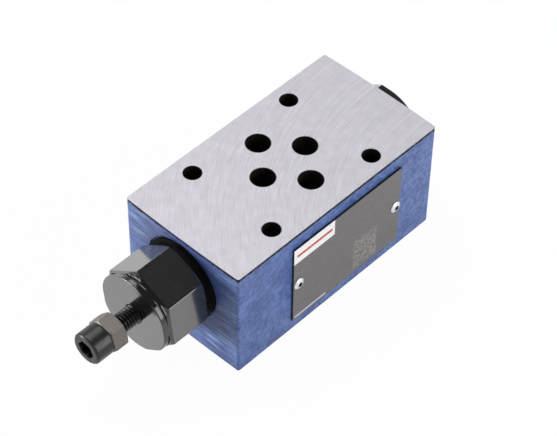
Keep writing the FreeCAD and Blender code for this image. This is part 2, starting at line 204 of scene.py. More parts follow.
def paint_shader(tree, place, axes):
    """Blue machine enamel over a cast skin."""
    pebbles = add(tree, "TexNoise", inputs={"Vector": place, "Scale": 1 / SAND_GRAIN, "Detail": 3.0,
                                            "Roughness": 0.6})
    waves = add(tree, "TexNoise", inputs={"Vector": place, "Scale": 1 / ENAMEL_WAVE, "Detail": 3.0,
                                          "Roughness": 0.6})
    clouds = add(tree, "TexNoise", inputs={"Vector": place, "Scale": 1 / CLOUD, "Detail": 3.0})
    ridges = add(tree, "TexNoise", inputs={"Vector": millimetres(tree, (1.0, 0.13, 1.0)), "Scale": 1 / RIDGE,
                                           "Detail": 4.0, "Roughness": 0.7})
    facing = add(tree, "SeparateXYZ", inputs={0: add(tree, "NewGeometry").outputs["True Normal"]})
    on_end = add(tree, "Math", {"operation": "LESS_THAN"}, {0: facing.outputs[0], 1: -0.7})
    steep = add(tree, "MapRange", {"clamp": False},
                {"Value": ridges.outputs[0], "To Min": -0.25, "To Max": 1.25})
    slow = add(tree, "Mix", {"data_type": "FLOAT"}, {0: on_end, 2: waves.outputs[0], 3: steep})
    height = add(tree, "Math", {"operation": "MULTIPLY_ADD"}, {0: pebbles.outputs[0], 1: 0.35, 2: slow})
    edge = add(tree, "Bevel", {"samples": 4}, {"Radius": 0.35 * MM})
    bump = add(tree, "Bump", inputs={"Strength": 1.0, "Distance": 0.8 * MM, "Height": height, "Normal": edge})
    # The cloudy patches are the thicker coat. The waves and ridges make the crests lighter and the hollows
    # darker, which is painted highlight and shade.
    coat_and_crest_tone = add(tree, "Mix", {"data_type": "FLOAT"}, {0: 0.55, 2: clouds.outputs[0], 3: slow})
    tone = two_tones(tree, coat_and_crest_tone, "#324F96", "#6080C2", 0.4, 0.6)
    # Thin pale streaks along the ridges of the end are painted highlights.
    highlight_streaks = add(tree, "TexNoise", inputs={"Vector": millimetres(tree, (1.0, 0.07, 1.0)), "Scale": 1 / HIGHLIGHT_STREAK,
                                           "Detail": 2.0})
    streak_highlight = add(tree, "MapRange", inputs={"Value": highlight_streaks.outputs[0], "From Min": 0.58, "From Max": 0.7,
                                            "To Max": 0.8})
    streak_highlight = add(tree, "Math", {"operation": "MULTIPLY"}, {0: streak_highlight, 1: on_end})
    tone = add(tree, "Mix", {"data_type": "RGBA"}, {0: streak_highlight, 6: tone, 7: colour("#B4C4EC")}).outputs[2]
    # A dark broken band under the top edge is painted shade along the edge, and it is rougher too.
    ragged = add(tree, "Math", {"operation": "MULTIPLY_ADD"},
                 {0: waves.outputs[0], 1: 2 * EDGE_LINE, 2: axes.outputs[2]})
    edge_shade = add(tree, "Math", {"operation": "GREATER_THAN"}, {0: ragged, 1: BLOCK_TOP})
    paint = add(tree, "Mix", {"data_type": "RGBA"}, {0: edge_shade, 6: tone, 7: colour("#0C101C")})
    # Painted shade: on the end faces the paint darkens towards the seats of the sleeve and the plug.
    across = add(tree, "CombineXYZ", inputs={1: axes.outputs[1], 2: axes.outputs[2]})
    reach = add(tree, "VectorMath", {"operation": "DISTANCE"}, {0: across, 1: (0.0, 0.0, AXIS_HEIGHT)})
    shade = add(tree, "MapRange", inputs={"Value": reach.outputs["Value"], "From Min": SPOT_FACE,
                                          "From Max": SPOT_FACE + SEAT_SHADE_FADE, "To Min": SEAT_SHADE_DEPTH, "To Max": 0.0})
    on_ends = add(tree, "Math", {"operation": "ABSOLUTE"}, {0: facing.outputs[0]})
    shade = add(tree, "Math", {"operation": "MULTIPLY"}, {0: shade, 1: on_ends})
    paint = add(tree, "Mix", {"data_type": "RGBA"}, {0: shade, 6: paint.outputs[2], 7: colour("#12317C")})
    gloss = add(tree, "MapRange", inputs={"Value": edge_shade, "To Min": 0.36, "To Max": 0.9})
    return add(tree, "BsdfPrincipled", inputs={"Base Color": paint.outputs[2], "Roughness": gloss,
                                               "IOR": 1.55, "Normal": bump})


print("ridges per cm on the adjuster end", round(10 / RIDGE))

# %% [markdown]
# ### Ground faces and bores
# A grinding wheel that swings over the face leaves arcs round its own axis. Noise that is stretched along an
# axis only draws straight marks, so this noise runs over the distance from the wheel's centre instead, and
# every mark becomes an arc. Iron mirrors less than steel, so the face is only a little metallic.
# The bores were drilled and are full of oil, and their near-black colour is partly the oil and partly painted
# shade of the deep holes; their rings catch the little light that gets in.

# %% Ground face and drilled bores
GRIT_MARK = 0.25        # mm between grinding marks, which are finer on the real face but wouldn't show
WHEEL_CENTRE = (45.0, -70.0, BLOCK_TOP)     # the wheel swings round this place
GRAPHITE_CLOUD = 3.0    # mm across the faint clouds of the iron's graphite
DRILL_RING = 0.4        # mm between the rings that a drill leaves, coarser than real ones so that they show


def ground_shader(tree, place):
    """Cast iron from the surface grinder: light and matt, with arcs."""
    swing = add(tree, "VectorMath", {"operation": "DISTANCE"}, {0: place, 1: WHEEL_CENTRE}).outputs["Value"]
    arcs = add(tree, "VectorMath", {"operation": "ADD"},
               {0: millimetres(tree, (0.05, 0.05, 0.0)), 1: add(tree, "CombineXYZ", inputs={0: swing})})
    marks = add(tree, "TexNoise", inputs={"Vector": arcs, "Scale": 1 / GRIT_MARK, "Detail": 2.0})
    clouds = add(tree, "TexNoise", inputs={"Vector": place, "Scale": 1 / GRAPHITE_CLOUD, "Detail": 4.0})
    both = add(tree, "Mix", {"data_type": "FLOAT"}, {0: 0.3, 2: marks.outputs[0], 3: clouds.outputs[0]})
    tone = two_tones(tree, both, "#BEBBC3", "#D1CED6", 0.38, 0.62)
    bump = add(tree, "Bump", inputs={"Strength": 0.5, "Distance": 0.01 * MM, "Height": marks.outputs[0]})
    return add(tree, "BsdfPrincipled", inputs={"Base Color": tone, "Metallic": 0.3, "Roughness": 0.5,
                                               "Normal": bump})


def bore_shader(tree):
    """Drilled and oiled cast iron, darkened further as painted shade so that a port reads as a black hole."""
    rings = add(tree, "TexNoise", inputs={"Vector": millimetres(tree, (0.06, 0.06, 1.0)),
                                          "Scale": 1 / DRILL_RING})
    bump = add(tree, "Bump", inputs={"Strength": 0.5, "Distance": 0.05 * MM, "Height": rings.outputs[0]})
    return add(tree, "BsdfPrincipled", inputs={"Base Color": colour("#211F19"), "Metallic": 0.2,
                                               "Roughness": 0.5, "Normal": bump})


print("grinding marks per mm", 1 / GRIT_MARK)

# %% The block's material
def painted_cast_iron():
    """Paint, then bare ground faces over it, then the bores through both."""
    material, tree = new_material("painted_cast_iron")
    place = millimetres(tree)
    axes = add(tree, "SeparateXYZ", inputs={0: place})
    skin = add(tree, "MixShader", inputs={0: mask_ground(tree, axes), 1: paint_shader(tree, place, axes),
                                          2: ground_shader(tree, place)})
    whole = add(tree, "MixShader", inputs={0: mask_bores(tree, axes), 1: skin, 2: bore_shader(tree)})
    add(tree, "OutputMaterial", inputs={"Surface": whole})
    return material


dress("housing", painted_cast_iron())
print("housing dressed")

# %% [markdown]
# ## Black-oxide steel
# The sleeve, the plug and the screw are blacked in a hot salt bath and oiled.
# The film is black, yet so smooth that it mirrors a pale room at a glancing angle. Painting it dark grey
# would lose that. The film is magnetite, which bends light far more than paint does, so its IOR is 2.0,
# and a thin clear coat stands for the oil: dark from above, light from the side.

# %% Black-oxide steel
DRAW_LINE = 0.5         # mm between the lines of the bar, coarser than real ones so that they show
OIL_SMEAR = 2.5         # mm across a smear of oil


def black_oxide_steel(name, base, roughness, stretch, film, oil):
    """Blacked steel. The film is the IOR of its surface and the oil is the weight of the clear coat."""
    material, tree = new_material(name)
    marks = add(tree, "TexNoise", inputs={"Vector": millimetres(tree, stretch), "Scale": 1 / DRAW_LINE,
                                          "Detail": 2.0})
    smears = add(tree, "TexNoise", inputs={"Vector": millimetres(tree), "Scale": 1 / OIL_SMEAR,
                                           "Detail": 3.0})
    sheen = add(tree, "MapRange", inputs={"Value": smears.outputs[0], "From Min": 0.3, "From Max": 0.7,
                                          "To Min": roughness * 0.8, "To Max": roughness * 1.3})
    bump = add(tree, "Bump", inputs={"Strength": 0.15, "Distance": 0.01 * MM, "Height": marks.outputs[0]})
    shader = add(tree, "BsdfPrincipled", inputs={
        "Base Color": colour(base), "Roughness": sheen, "IOR": film, "Coat Weight": oil,
        "Coat Roughness": 0.12, "Coat IOR": 1.5, "Normal": bump, "Coat Normal": bump})
    add(tree, "OutputMaterial", inputs={"Surface": shader})
    return material


BAR_BLACK = black_oxide_steel("black_oxide_steel", "#181816", 0.14, (0.1, 1.0, 1.0), film=2.0, oil=1.0)
# The collar finish is darker and duller than the flats, partly as painted shade where the sleeve and the plug
# meet the block.
SEAT_SHADE_BLACK = black_oxide_steel("shaded_black_oxide", "#060606", 0.6, (1.0, 0.1, 0.1), film=1.2, oil=0.0)
TURNED_BLACK = black_oxide_steel("turned_black_oxide", "#101010", 0.14, (1.0, 0.1, 0.1), film=1.6, oil=0.3)
SCREW_BLACK = black_oxide_steel("oiled_screw_steel", "#0A0A0B", 0.38, (1.0, 0.1, 0.1), film=1.4, oil=0.25)
dress("orifice_screw", SCREW_BLACK)
print("black finishes ready")

# %% [markdown]
# ## Bare steel
# The nut, the spool, the spring and the rivets are uncoated, and differ in how finely they were finished.
# Four materials could be built one by one, but their nodes would be the same. So one function makes them all
# from a base colour, a roughness and the size of the finest marks.
# The hole in a rivet's head is darkened close to the rivet's axis, as painted shade in the hole.

# %% Turned, ground and sprung steel
RIVET_AXES = [(-16.4, 19.8), (24.8, 19.8)]
RIVET_HOLE = 0.8        # mm, just over the hole's radius


def mask_rivet_holes(tree):
    """1 within a rivet's hole, 0 elsewhere."""
    axes = add(tree, "SeparateXYZ", inputs={0: millimetres(tree)})
    front = add(tree, "CombineXYZ", inputs={0: axes.outputs[0], 2: axes.outputs[2]})
    inside = 0.0
    for x, z in RIVET_AXES:
        gap = add(tree, "VectorMath", {"operation": "DISTANCE"}, {0: front, 1: (x, 0.0, z)}).outputs["Value"]
        near = add(tree, "Math", {"operation": "LESS_THAN"}, {0: gap, 1: RIVET_HOLE})
        inside = add(tree, "Math", {"operation": "MAXIMUM"}, {0: near, 1: inside})
    return inside


def bare_steel(name, base, roughness, grain, metallic=1.0, hole_shade_mask=None):
    """Uncoated steel. The grain is the size in mm of its finest marks, and the mask given last picks the
    holes that are darkened as painted shade.

    Real marks are finer than any grain used here. They are drawn this coarse so that they show."""
    material, tree = new_material(name)
    marks = add(tree, "TexNoise", inputs={"Vector": millimetres(tree, (1.0, 0.3, 0.3)), "Scale": 1 / grain,
                                          "Detail": 3.0})
    shade = add(tree, "MapRange", inputs={"Value": marks.outputs[0], "From Min": 0.3, "From Max": 0.7,
                                          "To Min": 0.85, "To Max": 1.15})
    tone = add(tree, "HueSaturation", inputs={"Color": colour(base), "Value": shade})
    bump = add(tree, "Bump", inputs={"Strength": 0.3, "Distance": 0.02 * MM, "Height": marks.outputs[0]})
    shader = add(tree, "BsdfPrincipled", inputs={"Base Color": tone, "Metallic": metallic,
                                                 "Roughness": roughness, "Normal": bump})
    if hole_shade_mask:
        # Painted shade: a near-black matt colour fills the masked holes.
        hole_shade = add(tree, "BsdfPrincipled", inputs={"Base Color": colour("#0B0B0B"), "Roughness": 0.6})
        shader = add(tree, "MixShader", inputs={0: hole_shade_mask(tree), 1: shader, 2: hole_shade})
    add(tree, "OutputMaterial", inputs={"Surface": shader})
    return material


NUT_STEEL = bare_steel("phosphated_nut_steel", "#6E6965", 0.45, 0.3, metallic=0.5)
GROUND_STEEL = bare_steel("ground_hardened_steel", "#B9BABD", 0.18, 0.2)
SPRING_STEEL = bare_steel("oil_tempered_wire", "#6E7076", 0.3, 0.4)
RIVET_STEEL = bare_steel("polished_rivet_steel", "#E4E6EA", 0.12, 0.5, hole_shade_mask=mask_rivet_holes)
for steel, names in ((GROUND_STEEL, ("control_spool", "spring_plate", "spring_seat")),
                     (SPRING_STEEL, ("plate_snap_ring",)), (RIVET_STEEL, ("nameplate_rivets",))):
    for node_name in names:
        dress(node_name, steel)
        print(node_name, "is", steel.name)

# %% [markdown]
# ## Nitrile rubber
# The seals are moulded nitrile rubber: black, slightly greyed by the mould release, and never glossy.
# A very fine bump and a high roughness keep them soft beside the bright metal that they sit against.

# %% Nitrile rubber
RUBBER_BLOOM = 0.7      # mm across a patch of bloom


def nitrile_rubber():
    """Black moulded rubber with a faint bloom."""
    material, tree = new_material("nitrile_rubber")
    bloom = add(tree, "TexNoise", inputs={"Vector": millimetres(tree), "Scale": 1 / RUBBER_BLOOM,
                                          "Detail": 4.0})
    bump = add(tree, "Bump", inputs={"Strength": 0.3, "Distance": 0.02 * MM, "Height": bloom.outputs[0]})
    shader = add(tree, "BsdfPrincipled", inputs={
        "Base Color": two_tones(tree, bloom.outputs[0], "#1B1B1C", "#2B2B2C"), "Roughness": 0.6, "IOR": 1.52,
        "Normal": bump})
    add(tree, "OutputMaterial", inputs={"Surface": shader})
    return material


RUBBER = nitrile_rubber()
for node_name in nodes:
    if "seal" in node_name:
        dress(node_name, RUBBER)
print("seals dressed", sum("seal" in node_name for node_name in nodes))

# %% [markdown]
# ## Turned and milled pieces
# The sleeve, nut, plug and screw are all rings of points along the spool axis.
# Each ring is a circle cut down by a hexagon, which is how a hexagon bar looks after turning, so a turned
# outline and a hexagon are all that a piece needs. A boolean cut would give the same form with long thin
# faces that shade badly. Small rounded edges catch the light as real edges do, and they are the reason why
# these four are made here and not only in CAD.

# %% Hexagon and outline helpers
HALF_FLAT = math.radians(30)    # angle from a hexagon's corner to the middle of its flat


def angles_near_corners(first_corner):
    """Angles in degrees that crowd at the six corners, so that their rounding is smooth."""
    steps = [0.0, 0.3, 0.6, 0.9, 1.3, 2.0, 4.0, 8.0, 12.0, 16.0, 20.0, 25.0]
    offsets = sorted({-step for step in steps} | set(steps) | {-30.0})
    return [first_corner + 60 * side + offset for side in range(6) for offset in offsets]


def hexagon_radius(across_flats, rounding, angle):
    """Distance from the axis to a hexagon with rounded corners, angle degrees away from a corner."""
    turn = math.radians(abs((angle + 30) % 60 - 30))
    flat = across_flats / 2
    centre = (flat - rounding) / math.cos(HALF_FLAT)
    tangent = math.atan2(rounding * math.sin(HALF_FLAT), centre + rounding * math.cos(HALF_FLAT))
    if turn < tangent:
        return centre * math.cos(turn) + math.sqrt(max(rounding ** 2 - (centre * math.sin(turn)) ** 2, 0.0))
    return flat / math.cos(HALF_FLAT - turn)


def rounded_outline(points, radius, steps=3):
    """Cuts each corner of an open outline back to a small arc, with less than half of each side used up."""
    result = [points[0]]
    for before, here, after in zip(points, points[1:], points[2:]):
        start, middle, end = Vector(before), Vector(here), Vector(after)
        into, out = start - middle, end - middle
        reach = min(radius, into.length * 0.45, out.length * 0.45)
        first = middle + into.normalized() * reach
        last = middle + out.normalized() * reach
        for step in range(steps + 1):
            share = step / steps
            curve = first.lerp(middle, share).lerp(middle.lerp(last, share), share)
            result.append((curve.x, curve.y))
    return result + [points[-1]]


def dense(outline, longest):
    """Adds points so that no stretch of an outline is longer than this."""
    result = [outline[0]]
    for start, end in zip(outline, outline[1:]):
        pieces = max(1, math.ceil(math.dist(start, end) / longest))
        for step in range(1, pieces + 1):
            share = step / pieces
            result.append(tuple(here + (there - here) * share for here, there in zip(start, end)))
    return result


print("points round a hexagon", len(angles_near_corners(0)))

# %% From rows of points to a piece
SHARP = math.radians(40)        # edges sharper than this are not smoothed over


def bridge(mesh, rows, closed):
    """Joins rows of points with faces. A skin that doesn't close on itself gets a cap at each end."""
    pairs = list(zip(rows, rows[1:]))
    if closed:
        pairs.append((rows[-1], rows[0]))
    for one, two in pairs:
        for index in range(len(one)):
            after = (index + 1) % len(one)
            mesh.faces.new((one[index], one[after], two[after], two[index]))
    if not closed:
        mesh.faces.new(reversed(rows[0]))
        mesh.faces.new(rows[-1])


def make_piece(name, mesh, materials):
    """Turns a mesh into an object with smooth faces between its sharp edges."""
    data = bpy.data.meshes.new(name)
    mesh.to_mesh(data)
    mesh.free()
    data.shade_smooth()
    data.set_sharp_from_angle(angle=SHARP)
    for material in materials:
        data.materials.append(material)
    piece = bpy.data.objects.new(name, data)
    bpy.context.scene.collection.objects.link(piece)
    return piece


print("edges stay sharp over", round(math.degrees(SHARP)), "degrees")

# %% Loft helper
WELD = 0.0005           # mm, points nearer than this become one


def loft(name, angles, rings, skins, body, replaced, closed):
    """Joins rings of (x, radii) into one skin, in millimetres, and puts it on its body.

    A skin is (material, lowest x): a face takes the last skin that starts below its middle."""
    mesh = bmesh.new()
    rows = []
    for x, radii in rings:
        row = []
        for angle, radius in zip(angles, radii):
            turn = math.radians(angle)
            point = Vector((x, radius * math.cos(turn), AXIS_HEIGHT + radius * math.sin(turn)))
            row.append(mesh.verts.new(point * MM))
        rows.append(row)
    bridge(mesh, rows, closed)
    bmesh.ops.remove_doubles(mesh, verts=mesh.verts, dist=WELD * MM)
    bmesh.ops.recalc_face_normals(mesh, faces=mesh.faces)
    for face in mesh.faces:
        middle = face.calc_center_median().x / MM
        face.material_index = max(index for index, (_, start) in enumerate(skins)
                                  if middle >= start or index == 0)
    piece = make_piece(name, mesh, [material for material, _ in skins])
    piece.modifiers.new("even_normals", "WEIGHTED_NORMAL").keep_sharp = True
    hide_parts(replaced)
    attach(piece, body)
    print(name, "faces", len(piece.data.polygons))


print("loft helper ready")

# %% [markdown]
# ## The adjusting sleeve
# The sleeve is hexagon bar, turned at both ends: a round collar that seats on the block, a chamfer behind
# the flats, and a stepped nose with a groove for a protective cap. Its outline goes down the outside and
# back up through the bore, and the hexagon only cuts the stretch between the collar and the front.
# The collar and the neck behind the chamfer are darker and duller than the flats, partly as a plainer turned
# finish and partly as painted shade where the sleeve meets the block, and the turned nose is a little duller
# than the drawn flats, so each of these takes a finish of its own.

# %% Sleeve
ACROSS_FLATS = 24.0
CORNER = ACROSS_FLATS / math.sqrt(3)
BAR_CORNER = 0.25       # rounding of the drawn bar's corners
TURNED_EDGE = 0.12      # rounding of a turned edge
RING_STEP = 0.25        # mm between rings, close enough to draw the chamfer's curve on a flat


def hexagonal_bar(name, outer, inner, corner, cut_from, cut_to, skins, replaced):
    """A turned bar whose outline is cut down to a hexagon between two places on the axis.

    A bar without a bore ends in flat caps instead of running back up the inside."""
    angles = angles_near_corners(corner)
    rings = []
    hexagon = [hexagon_radius(ACROSS_FLATS, BAR_CORNER, angle - corner) for angle in angles]
    for x, radius in dense(rounded_outline(outer, TURNED_EDGE), RING_STEP):
        inside = cut_from <= x <= cut_to
        rings.append((x, [min(radius, flat) if inside else radius for flat in hexagon]))
    rings += [(x, [radius] * len(angles)) for x, radius in inner]
    loft(name, angles, rings, skins, "valve_body", replaced, closed=bool(inner))


sleeve_outside = [
    (-27.0, 7.5), (-27.0, 10.2), (-27.8, 11.0), (-37.0, 11.0), (-37.0, 10.6), (-39.6, 10.6), (-39.6, 13.0),
    (-40.6, 13.0), (-40.6, 12.05), (-42.0, 12.05), (-43.1, CORNER), (-55.65, CORNER), (-56.55, 12.8),
    (-57.0, 12.8), (-57.0, 12.05), (-57.6, 12.05), (-57.6, 12.65), (-58.85, 12.65), (-59.1, 12.4),
    (-59.1, 3.3)]
sleeve_inside = [(-58.85, 3.05), (-53.1, 3.05), (-53.1, 7.5)]
sleeve_finishes = [(BAR_BLACK, -60.0), (TURNED_BLACK, -59.05), (BAR_BLACK, -55.7), (SEAT_SHADE_BLACK, -42.6)]
hexagonal_bar("sleeve_bar", sleeve_outside, sleeve_inside, corner=23.2, cut_from=-59.11, cut_to=-40.62,
              skins=sleeve_finishes, replaced="adjusting_sleeve")

# %% [markdown]
# ## The end plug
# The plug closes the far end of the spool bore and is made from the same bar, with a short hexagon that has
# one wide chamfer. The same function makes it, with the hexagon turned as it happened to come to rest.

# %% End plug
plug_outside = [
    (29.4, 0.6), (29.4, 10.2), (30.2, 11.0), (38.8, 11.0), (38.8, 10.6), (41.4, 10.6), (41.4, 13.0),
    (42.4, 13.0), (42.4, CORNER), (46.2, CORNER), (47.5, 12.0), (47.5, 0.6)]
hexagonal_bar("plug_bar", plug_outside, [], corner=79.5, cut_from=42.41, cut_to=47.51,
              skins=[(SEAT_SHADE_BLACK, 0.0), (BAR_BLACK, 42.4)], replaced="end_plug")

# %% [markdown]
# ## The lock nut
# The nut is a plain hexagon nut with both faces chamfered at 30 degrees. The chamfer leaves the curved
# line on each flat that everyone knows from nuts, and the ring loft gives it for nothing.

# %% Lock nut
NUT_FRONT, NUT_BACK = -65.85, -70.85
NUT_CORNER = 13.0       # degrees from the side to its first corner


def lock_nut():
    """Rings over the outside and straight back through the hole."""
    across = 10.0
    sharp = across / math.sqrt(3) + 0.02        # just outside the corners
    hole, mouth, land = 3.05, 3.4, 4.9          # radii of the hole, its chamfer and the flat ring round it
    angles = angles_near_corners(NUT_CORNER)
    outside = [(NUT_BACK, mouth), (NUT_BACK, land), (NUT_BACK + 0.5, sharp), (NUT_FRONT - 0.5, sharp),
               (NUT_FRONT, land), (NUT_FRONT, mouth)]
    rings = []
    for x, radius in dense(rounded_outline(outside, 0.1), 0.12):
        rings.append((x, [min(radius, hexagon_radius(across, 0.15, angle - NUT_CORNER)) for angle in angles]))
    rings += [(x, [hole] * len(angles)) for x in (NUT_FRONT + hole - mouth, NUT_BACK + mouth - hole)]
    loft("nut_hexagon", angles, rings, [(NUT_STEEL, -80.0)], "lock_nut", "lock_nut", closed=True)


lock_nut()

# %% [markdown]
# ## The adjusting screw
# A screw thread is a ridge that climbs one pitch in a turn. The skin is a grid of rings, and each point's
# radius comes from how far it is along the pitch, so the ridge runs round the rod as it climbs. A bump map
# would leave the rod's outline smooth, and the outline is where a thread is seen.
# The head is turned, with a chamfered front rim, and its socket is a hexagon pushed in from the front.

# %% Thread and head
SCREW_RADIUS = 3.0
PITCH = 1.0
THREAD_DEPTH = 0.61 * PITCH
HALF_CREST = PITCH / 16         # along the axis, from the middle of the crest to the flank
FLANK = 5 * PITCH / 16          # along the axis, down to the root
RINGS_PER_PITCH = 14
THREAD_START, THREAD_END = -70.2, -51.5
SOCKET = 5.0                    # across flats
FIRST_ANGLE = 5.0               # degrees from the side to the socket's first corner
HEAD_UNDER, HEAD_FRONT = -70.95, -76.95
SHANK = 20.0                    # from under the head to the tip
TIP_RADIUS = 2.3                # the tip is chamfered down to this


def thread_radius(x, angle):
    """Radius of an M6 thread: flat crest, sloping flanks, narrow root."""
    phase = (x / PITCH - angle / 360.0) % 1.0
    drop = min(max((abs(phase - 0.5) * PITCH - HALF_CREST) / FLANK, 0.0), 1.0)
    return SCREW_RADIUS - THREAD_DEPTH * drop


def adjusting_screw():
    """Rings from the bottom of the socket, out over the head and down the thread to the tip."""
    angles = [FIRST_ANGLE + 3.75 * step for step in range(96)]
    rings = [(HEAD_FRONT + 3.5, [0.4] * len(angles))]
    for x, across in ((HEAD_FRONT + 3.0, SOCKET), (HEAD_FRONT + 0.25, SOCKET), (HEAD_FRONT, SOCKET + 0.3)):
        rings.append((x, [hexagon_radius(across, 0.1, angle - FIRST_ANGLE) for angle in angles]))
    head = [(HEAD_FRONT, 3.6), (HEAD_FRONT, 4.45), (HEAD_FRONT + 0.55, 5.0), (HEAD_UNDER, 5.0),
            (HEAD_UNDER, SCREW_RADIUS), (THREAD_START - 0.4, SCREW_RADIUS)]
    rings += [(x, [radius] * len(angles)) for x, radius in dense(rounded_outline(head, 0.15), 0.4)]
    steps = round((THREAD_END - THREAD_START) / (PITCH / RINGS_PER_PITCH))
    for step in range(steps + 1):
        x = THREAD_START + (THREAD_END - THREAD_START) * step / steps
        fade = min(1.0, step / 10)      # the thread runs out over the first rings
        cut = [SCREW_RADIUS - thread_radius(x, angle) for angle in angles]
        rings.append((x, [SCREW_RADIUS - depth * fade for depth in cut]))
    rings.append((HEAD_UNDER + SHANK, [TIP_RADIUS] * len(angles)))
    loft("socket_screw", angles, rings, [(SCREW_BLACK, -80.0)], "adjusting_screw", "adjusting_screw",
         closed=False)


adjusting_screw()

# %% [markdown]
# ## The control spring
# The spring is oil-tempered wire wound with a closed turn at each end, and both ends are ground flat.
# Two pieces press on it: the spring plate from one end and the spool from the other. A rigid spring would
# stand still and they would cut through it, so it is made in two halves that meet at its middle. It hangs
# on the block in between.
# A curve with a round bevel would draw the same coil, but its ends couldn't be ground flat, so the wire's
# section is swept in code and its points are clipped at the two ends.

# %% Spring wire
SPRING_NEAR, SPRING_FAR = -45.43, -23.52
WIRE_RADIUS, COIL_RADIUS = 1.2, 5.6
CLOSED_TURNS, LIVE_TURNS = 1.0, 3.5
FIRST_CENTRE = 0.48     # from the ground end to the centre of the wire where it starts
STEPS_PER_TURN = 36
WIRE_SIDES = 20


def wire_centre(turn):
    """Place of the wire's centre along the axis after so many turns."""
    closed = 2 * WIRE_RADIUS
    pitch = (SPRING_FAR - SPRING_NEAR - 2 * FIRST_CENTRE - 2 * closed * CLOSED_TURNS) / LIVE_TURNS
    live = min(max(turn - CLOSED_TURNS, 0.0), LIVE_TURNS)
    return SPRING_NEAR + FIRST_CENTRE + live * pitch + (turn - live) * closed


def half_spring(name, first_turn, last_turn):
    """Sweeps the wire's section along the coil and clips it at the ground ends."""
    mesh = bmesh.new()
    rows = []
    steps = round((last_turn - first_turn) * STEPS_PER_TURN)
    for step in range(steps + 1):
        turn = first_turn + (last_turn - first_turn) * step / steps
        angle = 2 * math.pi * turn
        slope = (wire_centre(turn + 0.01) - wire_centre(turn - 0.01)) / 0.02
        outward = Vector((0.0, math.cos(angle), math.sin(angle)))
        along = Vector((slope / (2 * math.pi), -COIL_RADIUS * math.sin(angle), COIL_RADIUS * math.cos(angle)))
        across = along.normalized().cross(outward)
        centre = Vector((wire_centre(turn), 0.0, AXIS_HEIGHT)) + outward * COIL_RADIUS
        row = []
        for corner in range(WIRE_SIDES):
            around = 2 * math.pi * corner / WIRE_SIDES
            point = centre + (outward * math.cos(around) + across * math.sin(around)) * WIRE_RADIUS
            point.x = min(max(point.x, SPRING_NEAR), SPRING_FAR)
            row.append(mesh.verts.new(point * MM))
        rows.append(row)
    bridge(mesh, rows, closed=False)
    bmesh.ops.recalc_face_normals(mesh, faces=mesh.faces)
    piece = make_piece(name, mesh, [SPRING_STEEL])
    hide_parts("control_spring")
    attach(piece, "valve_body")
    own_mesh(piece)


ALL_TURNS = 2 * CLOSED_TURNS + LIVE_TURNS
half_spring("spring_near_half", 0.0, ALL_TURNS / 2)
half_spring("spring_far_half", ALL_TURNS / 2, ALL_TURNS)

# %% [markdown]
# ## The nameplate
# The plate is thin aluminium sheet, anodised a warm grey and held by two drive rivets. It has one white
# printed field with a plain red rule, a patch of fine squares and a thin pale rule, and nothing to read.
# Print has no thickness, so masks on the plate's own coordinates paint it, and it stays sharp at any size.

# %% Plate print
PLATE = {"left": -18.4, "right": 26.8, "low": 4.8, "high": 34.8, "front": -22.7}
WHITE_FIELD = (PLATE["left"], -1.7, 28.9, PLATE["high"])    # left, right, low and high
RED_RULE = (-17.2, -2.6, 31.2, 32.2)
PALE_RULE = (-17.6, -4.6, 5.4, 6.1)
SQUARES_FIELD = (7.0, 17.2, 6.2, 18.4)
FINE_SQUARE = 0.45      # mm across a printed square
ROLLING_LINE = 0.25     # mm between the lines left by rolling, coarser than real ones so that they show


def rectangle_mask(tree, axes, left, right, low, high):
    """1 where x and z lie in the rectangle, 0 elsewhere."""
    inside = 1.0
    for socket, start, end in ((0, left, right), (2, low, high)):
        middle, reach = (start + end) / 2, (end - start) / 2
        within = add(tree, "Math", {"operation": "COMPARE"}, {0: axes.outputs[socket], 1: middle, 2: reach})
        inside = add(tree, "Math", {"operation": "MULTIPLY"}, {0: within, 1: inside})
    return inside


def anodised_plate():
    """Rolled and anodised aluminium with its print."""
    material, tree = new_material("anodised_aluminium_plate")
    place = millimetres(tree)
    axes = add(tree, "SeparateXYZ", inputs={0: place})
    grain = add(tree, "TexNoise", inputs={"Vector": millimetres(tree, (0.1, 1.0, 1.0)),
                                          "Scale": 1 / ROLLING_LINE})
    cell = add(tree, "VectorMath", {"operation": "SCALE"}, {0: place, "Scale": 1 / FINE_SQUARE})
    cell = add(tree, "VectorMath", {"operation": "FLOOR"}, {0: cell})
    chance = add(tree, "TexWhiteNoise", {"noise_dimensions": "3D"}, {"Vector": cell})
    lit = add(tree, "Math", {"operation": "GREATER_THAN"}, {0: chance.outputs["Value"], 1: 0.5})
    squares = add(tree, "Math", {"operation": "MULTIPLY"},
                  {0: lit, 1: rectangle_mask(tree, axes, *SQUARES_FIELD)})
    # Painted shade: the plate's edges behind its front face are near-black, for the shade of the rim and the
    # gap behind it.
    shaded_rim = add(tree, "Math", {"operation": "GREATER_THAN"},
                  {0: axes.outputs[1], 1: PLATE["front"] + 0.05})
    print_layers = [(squares, "#8E8A86"),
                    (rectangle_mask(tree, axes, *WHITE_FIELD), "#FFFFFF"),
                    (rectangle_mask(tree, axes, *RED_RULE), "#C8322B"),
                    (rectangle_mask(tree, axes, *PALE_RULE), "#D6D7D9"),
                    (shaded_rim, "#0D0D0E")]
    paint = two_tones(tree, grain.outputs[0], "#625F60", "#716E6F")
    for mask, hex_code in print_layers:
        paint = add(tree, "Mix", {"data_type": "RGBA"}, {0: mask, 6: paint, 7: colour(hex_code)}).outputs[2]
    edge = add(tree, "Bevel", {"samples": 4}, {"Radius": 0.15 * MM})
    bump = add(tree, "Bump", inputs={"Strength": 0.15, "Distance": 0.01 * MM, "Height": grain.outputs[0],
                                     "Normal": edge})
    shader = add(tree, "BsdfPrincipled", inputs={"Base Color": paint, "Roughness": 0.42, "IOR": 1.5,
                                                 "Normal": bump})
    add(tree, "OutputMaterial", inputs={"Surface": shader})
    return material


dress("nameplate", anodised_plate())
print("plate width in mm", round(PLATE["right"] - PLATE["left"], 1))

